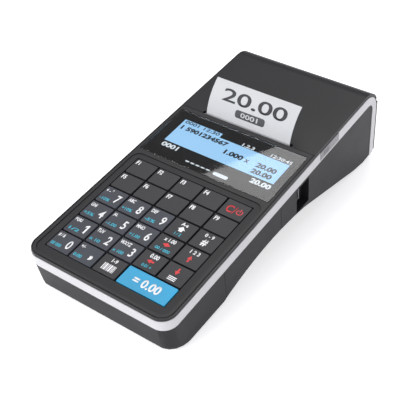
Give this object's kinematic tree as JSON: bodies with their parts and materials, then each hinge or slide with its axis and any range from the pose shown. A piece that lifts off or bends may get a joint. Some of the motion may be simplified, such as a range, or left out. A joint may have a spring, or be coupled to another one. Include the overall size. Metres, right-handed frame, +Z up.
{
  "type": "portable cash register",
  "caption": "Tilted hand-sized cash register with a flush keypad, a wide display, a hinged paper cover over a thermal printer and a curling receipt.",
  "frame": {"origin": "centre of the box's bottom face, on the surface that the feet stand on", "axes": "+Z up, +Y towards the hinged rear, +X to the right of a person who faces the keypad"},
  "size_m": [0.092, 0.2162, 0.0636],
  "materials": {
    "case_charcoal": "fine satin texture",
    "top_black": "fine satin texture",
    "band_light": "satin",
    "key_charcoal": "satin with printed legends",
    "key_slate": "satin with printed legends",
    "key_blue": "satin with printed legends",
    "window_gloss": "polished",
    "display_glass": "backlit liquid crystal",
    "silicone": "matt",
    "black_rubber": "matt",
    "board_green": "solder mask",
    "cell_wrap": "shrink sleeve",
    "plated_steel": "plated",
    "black_steel": "blackened",
    "head_alloy": "plain",
    "gear_plastic": "moulded",
    "frame_plastic": "moulded",
    "till_paper": "thermal paper",
    "core_board": "plain",
    "release_grey": "satin"
  },
  "bodies": {
    "chassis": {"lower_housing": "case_charcoal", "battery_door": "case_charcoal", "trim_band": "band_light", "upper_housing": "top_black", "keypad_bezel": "top_black", "keypad_mat": "silicone", "main_board": "board_green", "display_lens": "window_gloss", "lcd_module": "display_glass", "battery_pack": "cell_wrap", "usb_port": "plated_steel", "rubber_feet": "black_rubber", "housing_screws": "plated_steel", "printer_frame": "frame_plastic", "print_head": "head_alloy", "compression_springs": "plated_steel", "tear_bar": "black_steel", "feed_motor": "plated_steel", "hinge_pin": "plated_steel", "rear_panel": "window_gloss", "customer_display": "display_glass"},
    "paper_cover": {"paper_cover": "top_black", "receipt": "till_paper"},
    "platen": {"platen_roller": "black_rubber", "platen_shaft": "plated_steel", "platen_gear": "gear_plastic"},
    "idler_gear": {"idler_gear": "gear_plastic"},
    "motor_pinion": {"motor_pinion": "gear_plastic"},
    "paper_roll": {"paper_roll": "till_paper", "roll_core": "core_board"},
    "cover_release": {"cover_release": "release_grey"},
    "key_f1": {"key_f1": "key_charcoal"},
    "key_f2": {"key_f2": "key_charcoal"},
    "key_f3": {"key_f3": "key_charcoal"},
    "key_f4": {"key_f4": "key_charcoal"},
    "key_clear": {"key_clear": "key_charcoal"},
    "key_f5": {"key_f5": "key_charcoal"},
    "key_f6": {"key_f6": "key_charcoal"},
    "key_f7": {"key_f7": "key_charcoal"},
    "key_f8": {"key_f8": "key_charcoal"},
    "key_f9": {"key_f9": "key_charcoal"},
    "key_7": {"key_7": "key_slate"},
    "key_8": {"key_8": "key_slate"},
    "key_9": {"key_9": "key_slate"},
    "key_shift": {"key_shift": "key_charcoal"},
    "key_id": {"key_id": "key_charcoal"},
    "key_4": {"key_4": "key_slate"},
    "key_5": {"key_5": "key_slate"},
    "key_6": {"key_6": "key_slate"},
    "key_quantity": {"key_quantity": "key_charcoal"},
    "key_up": {"key_up": "key_charcoal"},
    "key_1": {"key_1": "key_slate"},
    "key_2": {"key_2": "key_slate"},
    "key_3": {"key_3": "key_slate"},
    "key_price": {"key_price": "key_charcoal"},
    "key_down": {"key_down": "key_charcoal"},
    "key_0": {"key_0": "key_slate"},
    "key_comma": {"key_comma": "key_slate"},
    "key_code": {"key_code": "key_charcoal"},
    "key_total": {"key_total": "key_blue"}
  },
  "joints": [
    {"name": "cover_hinge", "type": "hinge", "parent": "chassis", "child": "paper_cover", "pos_m": [0, 0.10194, 0.04289], "axis": [-1, 0, 0], "range_deg": [0, 75]},
    {"name": "paper_roll_spin", "type": "hinge", "parent": "chassis", "child": "paper_roll", "pos_m": [0, 0.07146, 0.02777], "axis": [1, 0, 0], "continuous": true},
    {"name": "platen_spin", "type": "hinge", "parent": "paper_cover", "child": "platen", "pos_m": [0, 0.03401, 0.03636], "axis": [1, 0, 0], "continuous": true},
    {"name": "idler_spin", "type": "hinge", "parent": "chassis", "child": "idler_gear", "pos_m": [0, 0.03536, 0.02537], "axis": [1, 0, 0], "continuous": true},
    {"name": "pinion_spin", "type": "hinge", "parent": "chassis", "child": "motor_pinion", "pos_m": [0, 0.02727, 0.02124], "axis": [1, 0, 0], "continuous": true},
    {"name": "release_press", "type": "slide", "parent": "chassis", "child": "cover_release", "axis": [-1, 0, 0], "range_m": [0, 0.0015], "stiffness_N_per_m": 800, "springref_m": -0.0005},
    {"name": "key_f1_press", "type": "slide", "parent": "chassis", "child": "key_f1", "axis": [0, 0.1219, -0.9925], "range_m": [0, 0.001], "stiffness_N_per_m": 600, "springref_m": -0.0003},
    {"name": "key_f2_press", "type": "slide", "parent": "chassis", "child": "key_f2", "axis": [0, 0.1219, -0.9925], "range_m": [0, 0.001], "stiffness_N_per_m": 600, "springref_m": -0.0003},
    {"name": "key_f3_press", "type": "slide", "parent": "chassis", "child": "key_f3", "axis": [0, 0.1219, -0.9925], "range_m": [0, 0.001], "stiffness_N_per_m": 600, "springref_m": -0.0003},
    {"name": "key_f4_press", "type": "slide", "parent": "chassis", "child": "key_f4", "axis": [0, 0.1219, -0.9925], "range_m": [0, 0.001], "stiffness_N_per_m": 600, "springref_m": -0.0003},
    {"name": "key_clear_press", "type": "slide", "parent": "chassis", "child": "key_clear", "axis": [0, 0.1219, -0.9925], "range_m": [0, 0.001], "stiffness_N_per_m": 600, "springref_m": -0.0003},
    {"name": "key_f5_press", "type": "slide", "parent": "chassis", "child": "key_f5", "axis": [0, 0.1219, -0.9925], "range_m": [0, 0.001], "stiffness_N_per_m": 600, "springref_m": -0.0003},
    {"name": "key_f6_press", "type": "slide", "parent": "chassis", "child": "key_f6", "axis": [0, 0.1219, -0.9925], "range_m": [0, 0.001], "stiffness_N_per_m": 600, "springref_m": -0.0003},
    {"name": "key_f7_press", "type": "slide", "parent": "chassis", "child": "key_f7", "axis": [0, 0.1219, -0.9925], "range_m": [0, 0.001], "stiffness_N_per_m": 600, "springref_m": -0.0003},
    {"name": "key_f8_press", "type": "slide", "parent": "chassis", "child": "key_f8", "axis": [0, 0.1219, -0.9925], "range_m": [0, 0.001], "stiffness_N_per_m": 600, "springref_m": -0.0003},
    {"name": "key_f9_press", "type": "slide", "parent": "chassis", "child": "key_f9", "axis": [0, 0.1219, -0.9925], "range_m": [0, 0.001], "stiffness_N_per_m": 600, "springref_m": -0.0003},
    {"name": "key_7_press", "type": "slide", "parent": "chassis", "child": "key_7", "axis": [0, 0.1219, -0.9925], "range_m": [0, 0.001], "stiffness_N_per_m": 600, "springref_m": -0.0003},
    {"name": "key_8_press", "type": "slide", "parent": "chassis", "child": "key_8", "axis": [0, 0.1219, -0.9925], "range_m": [0, 0.001], "stiffness_N_per_m": 600, "springref_m": -0.0003},
    {"name": "key_9_press", "type": "slide", "parent": "chassis", "child": "key_9", "axis": [0, 0.1219, -0.9925], "range_m": [0, 0.001], "stiffness_N_per_m": 600, "springref_m": -0.0003},
    {"name": "key_shift_press", "type": "slide", "parent": "chassis", "child": "key_shift", "axis": [0, 0.1219, -0.9925], "range_m": [0, 0.001], "stiffness_N_per_m": 600, "springref_m": -0.0003},
    {"name": "key_id_press", "type": "slide", "parent": "chassis", "child": "key_id", "axis": [0, 0.1219, -0.9925], "range_m": [0, 0.001], "stiffness_N_per_m": 600, "springref_m": -0.0003},
    {"name": "key_4_press", "type": "slide", "parent": "chassis", "child": "key_4", "axis": [0, 0.1219, -0.9925], "range_m": [0, 0.001], "stiffness_N_per_m": 600, "springref_m": -0.0003},
    {"name": "key_5_press", "type": "slide", "parent": "chassis", "child": "key_5", "axis": [0, 0.1219, -0.9925], "range_m": [0, 0.001], "stiffness_N_per_m": 600, "springref_m": -0.0003},
    {"name": "key_6_press", "type": "slide", "parent": "chassis", "child": "key_6", "axis": [0, 0.1219, -0.9925], "range_m": [0, 0.001], "stiffness_N_per_m": 600, "springref_m": -0.0003},
    {"name": "key_quantity_press", "type": "slide", "parent": "chassis", "child": "key_quantity", "axis": [0, 0.1219, -0.9925], "range_m": [0, 0.001], "stiffness_N_per_m": 600, "springref_m": -0.0003},
    {"name": "key_up_press", "type": "slide", "parent": "chassis", "child": "key_up", "axis": [0, 0.1219, -0.9925], "range_m": [0, 0.001], "stiffness_N_per_m": 600, "springref_m": -0.0003},
    {"name": "key_1_press", "type": "slide", "parent": "chassis", "child": "key_1", "axis": [0, 0.1219, -0.9925], "range_m": [0, 0.001], "stiffness_N_per_m": 600, "springref_m": -0.0003},
    {"name": "key_2_press", "type": "slide", "parent": "chassis", "child": "key_2", "axis": [0, 0.1219, -0.9925], "range_m": [0, 0.001], "stiffness_N_per_m": 600, "springref_m": -0.0003},
    {"name": "key_3_press", "type": "slide", "parent": "chassis", "child": "key_3", "axis": [0, 0.1219, -0.9925], "range_m": [0, 0.001], "stiffness_N_per_m": 600, "springref_m": -0.0003},
    {"name": "key_price_press", "type": "slide", "parent": "chassis", "child": "key_price", "axis": [0, 0.1219, -0.9925], "range_m": [0, 0.001], "stiffness_N_per_m": 600, "springref_m": -0.0003},
    {"name": "key_down_press", "type": "slide", "parent": "chassis", "child": "key_down", "axis": [0, 0.1219, -0.9925], "range_m": [0, 0.001], "stiffness_N_per_m": 600, "springref_m": -0.0003},
    {"name": "key_0_press", "type": "slide", "parent": "chassis", "child": "key_0", "axis": [0, 0.1219, -0.9925], "range_m": [0, 0.001], "stiffness_N_per_m": 600, "springref_m": -0.0003},
    {"name": "key_comma_press", "type": "slide", "parent": "chassis", "child": "key_comma", "axis": [0, 0.1219, -0.9925], "range_m": [0, 0.001], "stiffness_N_per_m": 600, "springref_m": -0.0003},
    {"name": "key_code_press", "type": "slide", "parent": "chassis", "child": "key_code", "axis": [0, 0.1219, -0.9925], "range_m": [0, 0.001], "stiffness_N_per_m": 600, "springref_m": -0.0003},
    {"name": "key_total_press", "type": "slide", "parent": "chassis", "child": "key_total", "axis": [0, 0.1219, -0.9925], "range_m": [0, 0.001], "stiffness_N_per_m": 600, "springref_m": -0.0003}
  ],
  "couplings": [
    {"joint": "platen_spin", "follows": "paper_roll_spin", "ratio": 3.6},
    {"joint": "idler_spin", "follows": "paper_roll_spin", "ratio": -3},
    {"joint": "pinion_spin", "follows": "paper_roll_spin", "ratio": 6}
  ]
}
